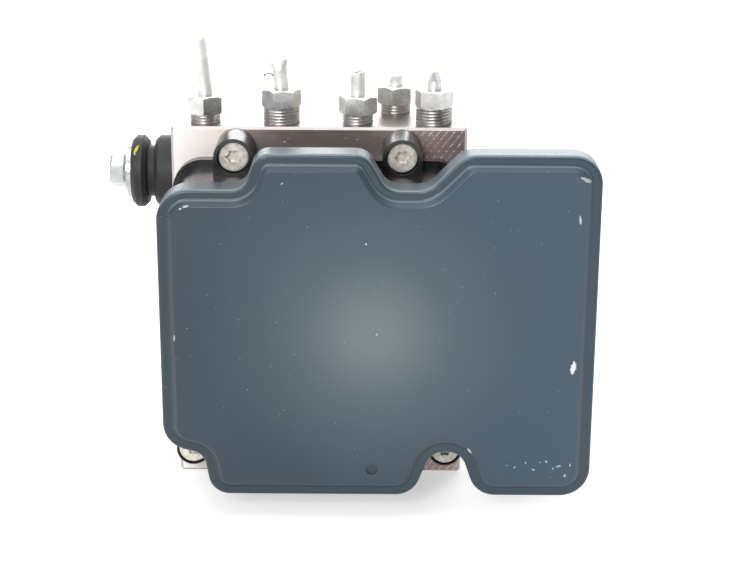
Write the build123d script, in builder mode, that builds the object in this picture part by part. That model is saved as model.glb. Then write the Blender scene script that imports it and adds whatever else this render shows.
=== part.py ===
"""Anti-lock brake unit: valve block, tube connections, pump motor and electronic controller.

Millimetres. X runs to the right, the controller's lid faces -Y, and Z is up.
The origin is the centre of the valve block's bottom face.
"""

import math
import os

from build123d import *

# ---------------------------------------------------------------- fits and walls
slide_gap = 0.03  # piston or armature in its bore, on the radius
running_gap = 0.04  # shaft in its bearing, on the radius
seat_gap = 0.1  # pieces pushed into one another and fixed, on the radius
free_gap = 0.3  # between pieces that move past each other
screw_tip = 1.0  # room left under the end of a screw

# ---------------------------------------------------------------- valve block
block_width = 95.2
block_depth = 45.0
block_height = 120.2
block_edge = 0.8
front = -block_depth / 2
back = block_depth / 2
side = block_width / 2

# ---------------------------------------------------------------- tube connections
port_pitch = 24.7
front_row = 8.3  # port axes behind the front face
second_row = 24.0
small_thread = 4.5  # M10x1 tap drill, radius
large_thread = 5.5  # M12x1 tap drill, radius
port_depth = 14.0
port_cone = 2.4
feed_radius = 1.6
small_lift = 3.1  # thread left showing under a small nut
large_lift = 5.2
nut_flats = 11.0
nut_height = 5.8
nut_engaged = 9.0
pipe_radius = 2.375
pipe_wall = 0.7
flare_radius = 4.1
pipe_bend = 20.0
pinch_step = 0.03
rear_port_x = -24.6
rear_port_z = block_height - 20.5

# ---------------------------------------------------------------- bracket mounts
mount_z = block_height - 20.6
mount_thread = 2.5  # M6 tap drill, radius
mount_depth = 15.0
sleeve_radius = 4.6
sleeve_bore = 3.2
grommet_radius = 12.0
grommet_groove = 8.5
grommet_inner = 7.5  # inner flange thickness
grommet_gap = 2.6  # width of the groove that the bracket fits in
grommet_outer = 5.1
grommet_round = 1.4
washer_radius = 9.0
washer_thick = 1.5
bolt_flange = 7.0
bolt_flange_thick = 1.6
bolt_flats = 10.0
bolt_head = 4.6

# ---------------------------------------------------------------- controller screws
high_x = 26.6
high_z = block_height - 6.7
low_x = 41.8
low_z = 13.5
ecu_screw_radius = 2.5
ecu_screw_depth = 12.0
ecu_head_radius = 4.95
ecu_head_height = 3.2
ecu_head_seat = 9.1  # underside of the heads, ahead of the block
torx_radius = 2.25
torx_depth = 1.7

# ---------------------------------------------------------------- controller housing
flange_thick = 4.0
flange_half = side - 0.6
flange_top = block_height - 9.8
flange_bottom = 9.6
flange_round = 10.0
chamber_half = side - 2.6
chamber_top = block_height - 12.4
chamber_bottom = 11.6
chamber_round = 8.0
chamber_wall = 2.0
driver_room = 7.2  # clear radius round the lower screw heads
high_ear = 6.3
high_ear_front = 14.2
low_ear = 5.55
low_ear_front = 12.6
ear_hole = 2.75
ear_pocket = 5.15
tray_back = 24.5
tray_plate = 2.5
tray_inset = 0.8
tongue_wall = 1.6
tongue_height = 5.0
post_inset = 11.0
post_low = 24.0
post_high = 8.0
post_radius = 2.0
seal_inset = 1.2  # seal groove from the flange's inner edge
seal_width = 1.6
seal_depth = 1.2

# ---------------------------------------------------------------- plug socket
socket_x = side + 19.4
socket_z = 65.0
socket_width = 30.0
socket_height = 70.0
socket_wall = 2.0
socket_round = 5.0
socket_reach = 4.0  # how far its mouth stands behind the block's front face
pin_reach = 12.0
small_pin = 0.8
large_pin_width = 6.3
pin_pitch = 4.0
pin_rows = 12
pin_columns = 2
rib_thick = 1.5
rib_height = 7.0
rib_side = 4.0

# ---------------------------------------------------------------- lid
lid_left = -side - 1.2
lid_right = side + 39.65
lid_bottom = 7.95
lid_shoulder = block_height - 10.9
lid_top = block_height + 0.3
lid_front = 36.0
lid_wall = 2.2
lid_edge = 1.2
panel_inset = 2.9  # foot of the panel's sloped side
panel_height = 2.0
panel_slope = 45.0
panel_round = 0.8
panel_corner = 3.2  # least corner radius of the panel's foot
dimple_x = 17.5
dimple_z = 18.0
dimple_radius = 1.8
dimple_depth = 0.5

# ---------------------------------------------------------------- circuit board
board_thick = 1.6
board_stand = 2.5
board_gap = 0.6

# ---------------------------------------------------------------- solenoid valves
valve_pitch = 22.0
inlet_z = block_height - 29.2
outlet_z = inlet_z - valve_pitch
valve_collar = 6.2
valve_collar_depth = 6.0
valve_stem = 4.6
valve_depth = 14.0
valve_flange = 6.7
valve_flange_thick = 1.2
dome_radius = 5.0
dome_height = 19.5
dome_wall = 0.6
dome_round = 1.2
plunger_radius = 1.2
seat_depth = 12.0
seat_orifice = 0.6
armature_length = 10.0
valve_lift = 0.3
coil_radius = 8.6
coil_back = 5.0
coil_height = 17.0
coil_flange = 1.3
coil_winding = 7.9
coil_pin = 0.8
coil_pin_x = 2.5
coil_pin_z = 6.6
pin_hole_gap = 0.2

# ---------------------------------------------------------------- pump
motor_z = 47.0
eccentricity = 1.2
ring_radius = 8.0
ring_bore = 5.2
ring_width = 9.0
eccentric_chamber = 10.5
chamber_depth = block_depth / 2 + ring_width / 2 + 1.5
pump_radius = 3.25
plug_radius = 7.0
plug_depth = 27.0  # plug bore from the block's side
plug_head = 9.0  # solid outer end of the plug
plug_recess = 0.6
piston_collar = 5.4
piston_collar_thick = 1.8
piston_tail = 2.2
collar_gap = 1.6
spring_wire = 0.5
spring_radius = 3.9
spring_turns = 4

# ---------------------------------------------------------------- accumulators
store_x = 24.0
store_radius = 9.5
store_depth = 28.0
store_cap = 3.0
store_recess = 0.6
store_piston_height = 8.0
store_piston_wall = 2.0
store_spring_wire = 0.8
store_spring_radius = 5.6

# ---------------------------------------------------------------- motor
can_radius = 30.0
can_wall = 1.6
can_length = 52.0
can_round = 2.0
can_flange = 33.0
can_flange_thick = 2.5
boss_radius = 12.6
ear_circle = 36.5
motor_ear = 5.5
motor_screw_radius = 2.5
motor_screw_depth = 10.0
motor_head_radius = 4.5
motor_head_height = 3.6
bearing_radius = 11.0
bearing_bore = 4.0
bearing_width = 7.0
plate_thick = 3.6
plate_start = 0.3
shaft_hole = 6.0
commutator_radius = 9.0
commutator_start = 6.5
commutator_length = 11.0
brush_width = 5.0
brush_height = 6.5
brush_length = 9.0
brush_box_wall = 1.2
core_start = 20.0
core_room = 8.0  # between the core and the can's closed end
core_length = can_length - core_start - core_room
core_radius = 21.5
core_slots = 10
slot_width = 5.0
slot_root = 10.5
slot_mouth = 19.0
slot_fill = 0.3
end_turn_length = 3.0
magnet_gap = 0.8
magnet_length = core_length + 4.0
magnet_angle = 140.0
stem_z = 25.0
stem_radius = 3.4
stem_reach = 6.0
contact_radius = 0.9
contact_x = 1.6

# ---------------------------------------------------------------- derived places
tray_front = tray_back + tray_plate
board_back = tray_front + board_stand
board_front = board_back + board_thick
lid_inside = lid_front - lid_wall
tongue_inset = lid_wall + free_gap
chamber_inner_half = chamber_half - chamber_wall
high_screws = [(-high_x, high_z), (high_x, high_z)]
low_screws = [(-low_x, low_z), (low_x, low_z)]
front_ports = [((column - 1.5) * port_pitch, front + front_row) for column in range(4)]
second_port = (port_pitch, front + second_row)
small_ports = [front_ports[0], front_ports[2], second_port]
large_ports = [front_ports[1], front_ports[3]]
valve_columns = [(column - 1.5) * valve_pitch for column in range(4)]
valve_places = [(x, z) for z in (inlet_z, outlet_z) for x in valve_columns]
ear_angles = (90.0, 210.0, 330.0)
motor_ears = [
    (ear_circle * math.cos(math.radians(angle)), ear_circle * math.sin(math.radians(angle)))
    for angle in ear_angles
]


def ahead(distance):
    """A plane this far in front of the block's front face, facing forwards."""
    return Plane.XZ.offset(distance - front)


def behind(distance):
    """A plane this far behind the block's back face, on the motor's axis, facing backwards."""
    return Plane((0, back + distance, motor_z), x_dir=(-1, 0, 0), z_dir=(0, 1, 0))


def turned(origin, direction, outline):
    """A round solid about an axis, from (distance along the axis, radius) points."""
    across = (0, 1, 0) if direction[2] else (0, 0, 1)
    with BuildPart() as piece:
        with BuildSketch(Plane(origin, x_dir=direction, z_dir=across)):
            with BuildLine():
                Polyline(*outline, close=True)
            make_face()
        revolve(axis=Axis(origin, direction))
    return piece


def group(solids):
    """Several like pieces kept together as separate solids."""
    with BuildPart() as pieces:
        for solid in solids:
            add(solid)
    return pieces


def keep(piece, name):
    """Names a finished piece and writes its file."""
    piece.part.label = name
    export_step(piece.part, f"parts/{name}.step")


def lid_shape(inset=0.0, ease=0.0):
    """The lid's face: bumps over the ports and socket, notches round the four screws."""
    shoulder_run = high_x - 4.7
    corners = [
        (lid_left, low_z + 11.5, 9.0),
        (5.8 - low_x, low_z + 8.3, 5.0),
        (8.2 - low_x, lid_bottom, 6.8),
        (low_x - 11.1, lid_bottom, 8.0),
        (low_x - 5.3, low_z + 9.5, 6.4),
        (low_x + 4.1, low_z + 9.5, 6.4),
        (low_x + 9.3, lid_bottom, 8.3),
        (lid_right, lid_bottom, 9.4),
        (lid_right, lid_top, 9.0),
        (high_x + 18.7, lid_top, 8.0),
        (high_x + 7.6, lid_shoulder, 8.0),
        (high_x - 4.5, lid_shoulder, 6.5),
        (high_x - 11.0, lid_top, 6.1),
        (8.6 - high_x, lid_top, 5.7),
        (-shoulder_run, lid_shoulder, 5.5),
        (lid_left, lid_shoulder, 10.0),
    ]
    with BuildSketch() as face:
        with BuildLine():
            FilletPolyline(
                *[(x, z) for x, z, _ in corners],
                radius=[radius for _, _, radius in corners],
                close=True,
            )
        make_face()
        if inset:
            offset(amount=-inset - ease)
        if ease:
            offset(amount=ease)
    return face.sketch


def chamber_shape(half, top, bottom, corner, room):
    """A rounded face with its lower corners hollowed out round the lower screws."""
    with BuildSketch() as face:
        with Locations((0, (top + bottom) / 2)):
            RectangleRounded(2 * half, top - bottom, corner)
        with Locations(*low_screws):
            Circle(room, mode=Mode.SUBTRACT)
    return face.sketch


def chamber_opening(grow=0.0):
    """The hollow over the coils, and the seal's edges round it."""
    return chamber_shape(
        chamber_inner_half + grow,
        chamber_top - chamber_wall + grow,
        chamber_bottom + chamber_wall - grow,
        chamber_round - chamber_wall + grow,
        driver_room + chamber_wall - grow,
    )


def coil_spring(origin, direction, length, radius, wire, turns):
    """A compression spring between two seats."""
    start = Vector(origin) + Vector(direction) * wire
    with BuildPart() as spring:
        with BuildLine() as coil:
            helix = Helix(
                pitch=(length - 2 * wire) / turns,
                height=length - 2 * wire,
                radius=radius,
                center=start,
                direction=direction,
            )
        with BuildSketch(Plane(origin=helix @ 0, z_dir=helix % 0)):
            Circle(wire)
        sweep(path=coil.wires()[0], is_frenet=True)
    return spring


os.makedirs("parts", exist_ok=True)

# ---------------------------------------------------------------- valve block
with BuildPart() as valve_block:
    with BuildSketch(Plane.XY):
        Rectangle(block_width, block_depth)
    extrude(amount=block_height)
    chamfer(valve_block.edges(), length=block_edge)
    # tube ports: threaded bore, cone for the flare, feed drilling down to the valves
    for ports, radius in ((small_ports, small_thread), (large_ports, large_thread)):
        with BuildSketch(Plane.XY.offset(block_height)):
            with Locations(*ports):
                Circle(radius)
        extrude(amount=-port_depth, mode=Mode.SUBTRACT)
    with BuildSketch(Plane.XY.offset(block_height)):
        with Locations(*front_ports):
            Circle(feed_radius)
    extrude(amount=outlet_z - valve_stem - block_height, mode=Mode.SUBTRACT)
    with BuildSketch(Plane.XY.offset(block_height)):
        with Locations(second_port):
            Circle(feed_radius)
    extrude(amount=inlet_z - valve_stem - block_height, mode=Mode.SUBTRACT)
    # open port on the motor side
    with BuildSketch(Plane.XZ.offset(-back)):
        with Locations((rear_port_x, rear_port_z)):
            Circle(small_thread)
    extrude(amount=port_depth, mode=Mode.SUBTRACT)
    # bracket screw threads in both sides and the bottom
    with BuildSketch(Plane.YZ.offset(-side)):
        with Locations((0, mount_z)):
            Circle(mount_thread)
    extrude(amount=mount_depth, mode=Mode.SUBTRACT)
    with BuildSketch(Plane.YZ.offset(side)):
        with Locations((0, mount_z)):
            Circle(mount_thread)
    extrude(amount=-mount_depth, mode=Mode.SUBTRACT)
    with BuildSketch(Plane.XY):
        Circle(mount_thread)
    extrude(amount=mount_depth, mode=Mode.SUBTRACT)
    # controller screws
    with BuildSketch(ahead(0)):
        with Locations(*high_screws, *low_screws):
            Circle(ecu_screw_radius + seat_gap)
    extrude(amount=-ecu_screw_depth, mode=Mode.SUBTRACT)
    # stepped valve bores
    with BuildSketch(ahead(0)):
        with Locations(*valve_places):
            Circle(valve_collar)
    extrude(amount=-valve_collar_depth, mode=Mode.SUBTRACT)
    with BuildSketch(ahead(0)):
        with Locations(*valve_places):
            Circle(valve_stem)
    extrude(amount=-valve_depth, mode=Mode.SUBTRACT)
    # motor side: bearing seat, eccentric chamber, contact stem, motor screws
    with BuildSketch(behind(0)):
        Circle(bearing_radius + seat_gap)
    extrude(amount=-bearing_width, mode=Mode.SUBTRACT)
    with BuildSketch(behind(0)):
        Circle(eccentric_chamber)
    extrude(amount=-chamber_depth, mode=Mode.SUBTRACT)
    with BuildSketch(behind(0)):
        with Locations((0, stem_z - motor_z)):
            Circle(stem_radius + seat_gap)
    extrude(amount=-block_depth, mode=Mode.SUBTRACT)
    with BuildSketch(behind(0)):
        with Locations(*motor_ears):
            Circle(motor_screw_radius + seat_gap)
    extrude(amount=-motor_screw_depth - screw_tip, mode=Mode.SUBTRACT)
    # pump bores from both sides, meeting in the eccentric chamber
    with BuildSketch(Plane.YZ.offset(-side)):
        with Locations((0, motor_z)):
            Circle(pump_radius + slide_gap)
    extrude(amount=block_width, mode=Mode.SUBTRACT)
    with BuildSketch(Plane.YZ.offset(-side), Plane.YZ.offset(side - plug_depth)):
        with Locations((0, motor_z)):
            Circle(plug_radius)
    extrude(amount=plug_depth, mode=Mode.SUBTRACT)
    # accumulator bores from below
    with BuildSketch(Plane.XY):
        with Locations((-store_x, 0), (store_x, 0)):
            Circle(store_radius)
    extrude(amount=store_depth, mode=Mode.SUBTRACT)
keep(valve_block, "valve_block")

# ---------------------------------------------------------------- controller housing
with BuildPart() as ecu_housing:
    # flange against the block, and the walls of the coil chamber
    with BuildSketch(ahead(0)):
        with Locations((0, (flange_top + flange_bottom) / 2)):
            RectangleRounded(2 * flange_half, flange_top - flange_bottom, flange_round)
        with Locations(*low_screws):
            Circle(low_ear)
        add(chamber_opening(), mode=Mode.SUBTRACT)
    extrude(amount=flange_thick)
    with BuildSketch(ahead(0)):
        add(chamber_shape(chamber_half, chamber_top, chamber_bottom, chamber_round, driver_room))
        add(chamber_opening(), mode=Mode.SUBTRACT)
    extrude(amount=tray_back)
    # screw ears: arched towers at the top, round posts at the bottom
    with BuildSketch(ahead(0)):
        for x, z in high_screws:
            with Locations((x, z)):
                Circle(high_ear)
            with Locations((x, (z + chamber_top - chamber_wall) / 2)):
                Rectangle(2 * high_ear, z - chamber_top + chamber_wall)
    extrude(amount=high_ear_front)
    with BuildSketch(ahead(0)):
        with Locations(*low_screws):
            Circle(low_ear)
    extrude(amount=low_ear_front)
    # tray that carries the board, with a tongue that fits inside the lid
    with BuildSketch(ahead(tray_back)):
        add(lid_shape(tray_inset))
    extrude(amount=tray_plate)
    with BuildSketch(ahead(tray_front)):
        add(lid_shape(tongue_inset))
        add(lid_shape(tongue_inset + tongue_wall), mode=Mode.SUBTRACT)
    extrude(amount=tongue_height)
    # posts under the board
    with BuildSketch(ahead(tray_front)):
        for x in (lid_left + post_inset, 0, lid_right - post_inset):
            for z in (lid_bottom + post_low, lid_shoulder - post_high):
                with Locations((x, z)):
                    Circle(post_radius)
    extrude(amount=board_stand)
    # plug socket, open towards the back, with guide ribs
    with BuildSketch(ahead(tray_back)):
        with Locations((socket_x, socket_z)):
            RectangleRounded(socket_width, socket_height, socket_round)
            RectangleRounded(
                socket_width - 2 * socket_wall,
                socket_height - 2 * socket_wall,
                socket_round - socket_wall,
                mode=Mode.SUBTRACT,
            )
    extrude(amount=-tray_back - socket_reach)
    with BuildSketch(ahead(tray_back)):
        with Locations((socket_x, socket_z)):
            with GridLocations(0, socket_height + rib_height, 1, 2):
                Rectangle(rib_thick, rib_height)
            with GridLocations(socket_width + rib_side, socket_height / 2, 2, 2):
                Rectangle(rib_side, rib_thick)
    extrude(amount=-rib_height)
    # holes: screws and their head pockets, pins of the socket, coils and motor
    with BuildSketch(ahead(0)):
        with Locations(*high_screws, *low_screws):
            Circle(ear_hole)
    extrude(amount=high_ear_front, mode=Mode.SUBTRACT)
    with BuildSketch(ahead(ecu_head_seat)):
        with Locations(*high_screws, *low_screws):
            Circle(ear_pocket)
    extrude(amount=high_ear_front, mode=Mode.SUBTRACT)
    with BuildSketch(ahead(tray_back)):
        for x, z in valve_places:
            with Locations((x - coil_pin_x, z + coil_pin_z), (x + coil_pin_x, z + coil_pin_z)):
                Rectangle(coil_pin + 2 * pin_hole_gap, coil_pin + 2 * pin_hole_gap)
        with Locations((-contact_x, stem_z), (contact_x, stem_z)):
            Circle(contact_radius + pin_hole_gap)
        with Locations((socket_x, socket_z)):
            with GridLocations(pin_pitch, pin_pitch, pin_columns, pin_rows):
                Rectangle(small_pin + 2 * slide_gap, small_pin + 2 * slide_gap)
            with GridLocations(0, pin_pitch * (pin_rows + 2), 1, 2):
                Rectangle(large_pin_width + 2 * slide_gap, small_pin + 2 * slide_gap)
    extrude(amount=tray_plate, mode=Mode.SUBTRACT)
    # seal groove in the flange
    with BuildSketch(ahead(0)):
        add(chamber_opening(seal_inset + seal_width))
        add(chamber_opening(seal_inset), mode=Mode.SUBTRACT)
    extrude(amount=seal_depth, mode=Mode.SUBTRACT)
keep(ecu_housing, "ecu_housing")

with BuildPart() as ecu_gasket:
    with BuildSketch(ahead(0)):
        add(chamber_opening(seal_inset + seal_width))
        add(chamber_opening(seal_inset), mode=Mode.SUBTRACT)
    extrude(amount=seal_depth)
keep(ecu_gasket, "ecu_gasket")

# ---------------------------------------------------------------- lid
with BuildPart() as ecu_lid:
    with BuildSketch(ahead(tray_front)):
        add(lid_shape())
    extrude(amount=lid_front - tray_front)
    fillet(ecu_lid.faces().sort_by(Axis.Y)[0].outer_wire().edges(), radius=lid_edge)
    with BuildSketch(ahead(lid_front)):
        add(lid_shape(panel_inset, panel_corner))
    extrude(amount=panel_height, taper=panel_slope)
    fillet(ecu_lid.edges().group_by(Axis.Y)[0], radius=panel_round)
    foot = ecu_lid.faces().filter_by(Plane.XZ).sort_by(Axis.Y)[1].inner_wires()[0]
    fillet(foot.edges(), radius=panel_round)
    with BuildSketch(ahead(tray_front)):
        add(lid_shape(lid_wall))
    extrude(amount=lid_inside - tray_front, mode=Mode.SUBTRACT)
    with BuildSketch(ahead(lid_inside)):
        add(lid_shape(panel_inset + panel_height + lid_wall))
    extrude(amount=panel_height, mode=Mode.SUBTRACT)
    with BuildSketch(ahead(lid_front + panel_height)):
        with Locations((dimple_x, dimple_z)):
            Circle(dimple_radius)
    extrude(amount=-dimple_depth, mode=Mode.SUBTRACT)
keep(ecu_lid, "ecu_lid")

# ---------------------------------------------------------------- board and its pins
with BuildPart() as circuit_board:
    with BuildSketch(ahead(board_back)):
        add(lid_shape(tongue_inset + tongue_wall + board_gap))
    extrude(amount=board_thick)
    # processor, power stage and relays soldered to the front of the board
    with BuildSketch(ahead(board_front)):
        with Locations((-4, 62)):
            Rectangle(20, 20)
        with GridLocations(16, 0, 4, 1):
            with Locations((0, 30)):
                Rectangle(9, 11)
        with GridLocations(15, 0, 5, 1):
            with Locations((0, 92)):
                Rectangle(8, 7)
    extrude(amount=1.7)
keep(circuit_board, "circuit_board")

with BuildPart() as connector_pins:
    with BuildSketch(ahead(board_back)):
        with Locations((socket_x, socket_z)):
            with GridLocations(pin_pitch, pin_pitch, pin_columns, pin_rows):
                Rectangle(small_pin, small_pin)
            with GridLocations(0, pin_pitch * (pin_rows + 2), 1, 2):
                Rectangle(large_pin_width, small_pin)
    extrude(amount=-board_stand - tray_plate - pin_reach)
keep(connector_pins, "connector_pins")


def ecu_screw(x, z):
    """A pan-head screw with a six-lobed socket."""
    seat = (x, front - ecu_head_seat, z)
    head = ecu_head_height
    rim = ecu_head_radius
    body = turned(
        seat,
        (0, -1, 0),
        [
            (screw_tip - ecu_head_seat - ecu_screw_depth, 0),
            (screw_tip - ecu_head_seat - ecu_screw_depth, ecu_screw_radius),
            (0, ecu_screw_radius),
            (0, rim),
            (head * 0.8, rim),
            (head * 0.97, rim * 0.93),
            (head, rim * 0.8),
            (head, 0),
        ],
    )
    with BuildPart() as screw:
        add(body.part)
        with BuildSketch(ahead(ecu_head_seat + head)):
            with Locations((x, z)):
                Circle(torx_radius * 0.84)
                with PolarLocations(torx_radius * 0.8, 6):
                    Circle(torx_radius * 0.24)
        extrude(amount=-torx_depth, mode=Mode.SUBTRACT)
    return screw.part


keep(group([ecu_screw(x, z) for x, z in high_screws + low_screws]), "ecu_screws")

# ---------------------------------------------------------------- solenoid valves


def coil(x, z):
    """A coil on its bobbin, with the two leads that go up to the board."""
    bore = dome_radius + free_gap
    body = turned(
        (x, front - coil_back, z),
        (0, -1, 0),
        [
            (0, bore),
            (0, coil_radius),
            (coil_flange, coil_radius),
            (coil_flange, coil_winding),
            (coil_height - coil_flange, coil_winding),
            (coil_height - coil_flange, coil_radius),
            (coil_height, coil_radius),
            (coil_height, bore),
        ],
    )
    with BuildPart() as bobbin:
        add(body.part)
        with BuildSketch(ahead(coil_back + coil_height)):
            with Locations((x - coil_pin_x, z + coil_pin_z), (x + coil_pin_x, z + coil_pin_z)):
                Rectangle(coil_pin, coil_pin)
        extrude(amount=board_back - coil_back - coil_height)
    return bobbin.part


keep(group([coil(x, z) for x, z in valve_places]), "solenoid_coils")

dome_inside = dome_radius - dome_wall
dome_top = dome_height - dome_wall
cavity_floor = dome_top - armature_length - 2 * valve_lift

for number, (x, z) in enumerate(valve_places, start=1):
    place = (x, front, z)
    cartridge = turned(
        place,
        (0, -1, 0),
        [
            (-valve_depth, seat_orifice),
            (-valve_depth, valve_stem - seat_gap),
            (-valve_collar_depth, valve_stem - seat_gap),
            (-valve_collar_depth, valve_collar - seat_gap),
            (0, valve_collar - seat_gap),
            (0, valve_flange),
            (valve_flange_thick, valve_flange),
            (valve_flange_thick, dome_radius),
            (dome_height - dome_round, dome_radius),
            (dome_height, dome_radius - dome_round),
            (dome_height, 0),
            (dome_top, 0),
            (dome_top, dome_inside - dome_round),
            (dome_top - dome_round, dome_inside),
            (cavity_floor, dome_inside),
            (cavity_floor, plunger_radius + slide_gap),
            (-seat_depth, plunger_radius + slide_gap),
            (-seat_depth, seat_orifice),
        ],
    )
    keep(cartridge, f"valve_cartridge_{number}")
    # inlet valves rest open and outlet valves rest closed
    rest = cavity_floor + valve_lift + (valve_lift if z == inlet_z else 0) - valve_lift / 2
    tip = -seat_depth + rest - cavity_floor
    armature = turned(
        place,
        (0, -1, 0),
        [
            (tip, 0),
            (tip, plunger_radius),
            (rest, plunger_radius),
            (rest, dome_inside - slide_gap),
            (rest + armature_length - dome_round, dome_inside - slide_gap),
            (rest + armature_length, dome_inside - slide_gap - dome_round),
            (rest + armature_length, 0),
        ],
    )
    keep(armature, f"valve_armature_{number}")

# ---------------------------------------------------------------- tube nuts and pipes


def tube_nut(x, y, thread, lift, turn):
    """A hexagon tube nut, screwed in as far as its lift leaves."""
    base = block_height + lift
    bore = pipe_radius + seat_gap
    corner = nut_flats / 2 / math.cos(math.pi / 6)
    bevel = corner - nut_flats / 2 + 0.3
    with BuildPart() as nut:
        with BuildSketch(Plane.XY.offset(base)):
            with Locations((x, y)):
                RegularPolygon(nut_flats / 2, 6, major_radius=False, rotation=turn)
        extrude(amount=nut_height)
        with BuildSketch(Plane((x, y, base), x_dir=(1, 0, 0), z_dir=(0, -1, 0))):
            with BuildLine():
                Polyline(
                    (0, 0),
                    (corner - bevel / 2, 0),
                    (corner + 0.1, bevel / 3),
                    (corner + 0.1, nut_height - bevel / 1.7),
                    (corner - bevel, nut_height),
                    (0, nut_height),
                    close=True,
                )
            make_face()
        revolve(axis=Axis((x, y, base), (0, 0, 1)), mode=Mode.INTERSECT)
        with BuildSketch(Plane.XY.offset(base)):
            with Locations((x, y)):
                Circle(thread - slide_gap)
        extrude(amount=-lift - nut_engaged)
        with BuildSketch(Plane.XY.offset(base + nut_height)):
            with Locations((x, y)):
                Circle(bore)
        extrude(amount=-nut_height - lift - nut_engaged, mode=Mode.SUBTRACT)
    return nut.part


def brake_pipe(x, y, stands, lean, reach, slant, pinch_width, pinch_thick, pinch_turn, pinch_length):
    """A cut-off brake pipe: flared foot, round tube, and an end sawn at a slant or pinched by cutters."""
    foot = Vector(x, y, block_height - port_depth + port_cone)
    bend = Vector(x, y, block_height + stands)
    along = Vector(math.sin(math.radians(lean)), 0, math.cos(math.radians(lean)))
    top = bend + along * reach
    spare = pipe_radius * math.tan(math.radians(slant))
    with BuildPart() as pipe:
        with BuildLine() as route:
            if lean:
                FilletPolyline(foot, bend, top + along * spare, radius=pipe_bend)
            else:
                Line(foot, top + along * spare)
        with BuildSketch(Plane(foot)):
            Circle(pipe_radius)
        sweep(path=route.wires()[0])
        with BuildSketch(Plane(foot)):
            Circle(flare_radius)
        extrude(amount=port_depth - port_cone - nut_engaged - free_gap)
        if pinch_length:
            end = Plane(top, x_dir=(along.Z, 0, -along.X), z_dir=along)
            start = pipe_radius - pinch_step
            sections = [
                (0, start, start - pinch_step),
                (0.5, (start + pinch_width / 2) / 2, (start + pinch_thick / 2) / 2),
                (1, pinch_width / 2, pinch_thick / 2),
            ]
            for share, wide, thin in sections:
                with BuildSketch(end.offset(pinch_length * share)):
                    Ellipse(wide, thin, rotation=pinch_turn)
            loft()
        with BuildSketch(Plane(foot)):
            Circle(pipe_radius - pipe_wall)
        sweep(path=route.wires()[0], mode=Mode.SUBTRACT)
        if slant:
            tilt = math.radians(lean - slant)
            split(bisect_by=Plane(top, z_dir=(math.sin(tilt), 0, math.cos(tilt))), keep=Keep.BOTTOM)
    return pipe


small_turns = (30.0, -10.0, 20.0)
large_turns = (8.0, -14.0)
small_nuts = [tube_nut(*port, small_thread, small_lift, turn) for port, turn in zip(small_ports, small_turns)]
large_nuts = [tube_nut(*port, large_thread, large_lift, turn) for port, turn in zip(large_ports, large_turns)]
keep(group(small_nuts), "small_tube_nuts")
keep(group(large_nuts), "large_tube_nuts")

# place, straight length, lean, length past the bend, slant of the cut, then the pinched
# end's width, thickness, turn and length
pipes = [
    (front_ports[0], 10.5, -6.0, 15.6, 36.0, 0.0, 0.0, 0.0, 0.0),
    (front_ports[1], 13.0, -7.0, 4.2, 0.0, 6.1, 1.9, 0.0, 3.2),
    (front_ports[2], 12.0, 0.0, 4.4, 14.0, 0.0, 0.0, 0.0, 0.0),
    (front_ports[3], 12.6, 0.0, 1.2, 0.0, 6.2, 1.9, 84.0, 3.4),
    (second_port, 8.5, 5.0, 1.4, 0.0, 5.6, 1.8, 55.0, 2.2),
]
for number, (place, *form) in enumerate(pipes, start=1):
    keep(brake_pipe(*place, *form), f"brake_pipe_{number}")

# ---------------------------------------------------------------- rubber mount on the left side
mount_place = (-side, 0, mount_z)
outwards = (-1, 0, 0)
groove_start = grommet_inner
groove_end = groove_start + grommet_gap
grommet_end = groove_end + grommet_outer
washer_end = grommet_end + washer_thick
flange_end = washer_end + bolt_flange_thick
grommet = turned(
    mount_place,
    outwards,
    [
        (0, sleeve_radius),
        (0, grommet_radius - grommet_round),
        (grommet_round, grommet_radius),
        (groove_start - grommet_round, grommet_radius),
        (groove_start, grommet_radius - grommet_round),
        (groove_start, grommet_groove),
        (groove_end, grommet_groove),
        (groove_end, grommet_radius - grommet_round),
        (groove_end + grommet_round, grommet_radius),
        (grommet_end - grommet_round, grommet_radius),
        (grommet_end, grommet_radius - grommet_round),
        (grommet_end, sleeve_radius),
    ],
)
keep(grommet, "grommet")
spacer_sleeve = turned(
    mount_place,
    outwards,
    [
        (0, sleeve_bore),
        (0, sleeve_radius),
        (grommet_end, sleeve_radius),
        (grommet_end, sleeve_bore),
    ],
)
keep(spacer_sleeve, "spacer_sleeve")
washer = turned(
    mount_place,
    outwards,
    [
        (grommet_end, sleeve_bore),
        (grommet_end, washer_radius),
        (washer_end, washer_radius),
        (washer_end, sleeve_bore),
    ],
)
keep(washer, "washer")
shank = mount_thread - slide_gap
bolt_body = turned(
    mount_place,
    outwards,
    [
        (screw_tip - mount_depth, 0),
        (screw_tip - mount_depth, shank),
        (washer_end, shank),
        (washer_end, bolt_flange),
        (washer_end + bolt_flange_thick / 3, bolt_flange),
        (flange_end, bolt_flange * 0.8),
        (flange_end, 0),
    ],
)
with BuildPart() as mounting_bolt:
    add(bolt_body.part)
    with BuildSketch(Plane.YZ.offset(-side - flange_end)):
        with Locations((0, mount_z)):
            RegularPolygon(bolt_flats / 2, 6, major_radius=False, rotation=30)
    extrude(amount=-bolt_head)
    chamfer(mounting_bolt.edges().group_by(Axis.X)[0], length=0.7)
keep(mounting_bolt, "mounting_bolt")

# ---------------------------------------------------------------- pump
motor_axis = (0, back, motor_z)
backwards = (0, 1, 0)
pump_depth = -block_depth / 2
piston_start = ring_radius + eccentricity + free_gap
collar_start = side - plug_depth + collar_gap
plug_start = side - plug_recess
spring_seat = plug_start - plug_head

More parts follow.
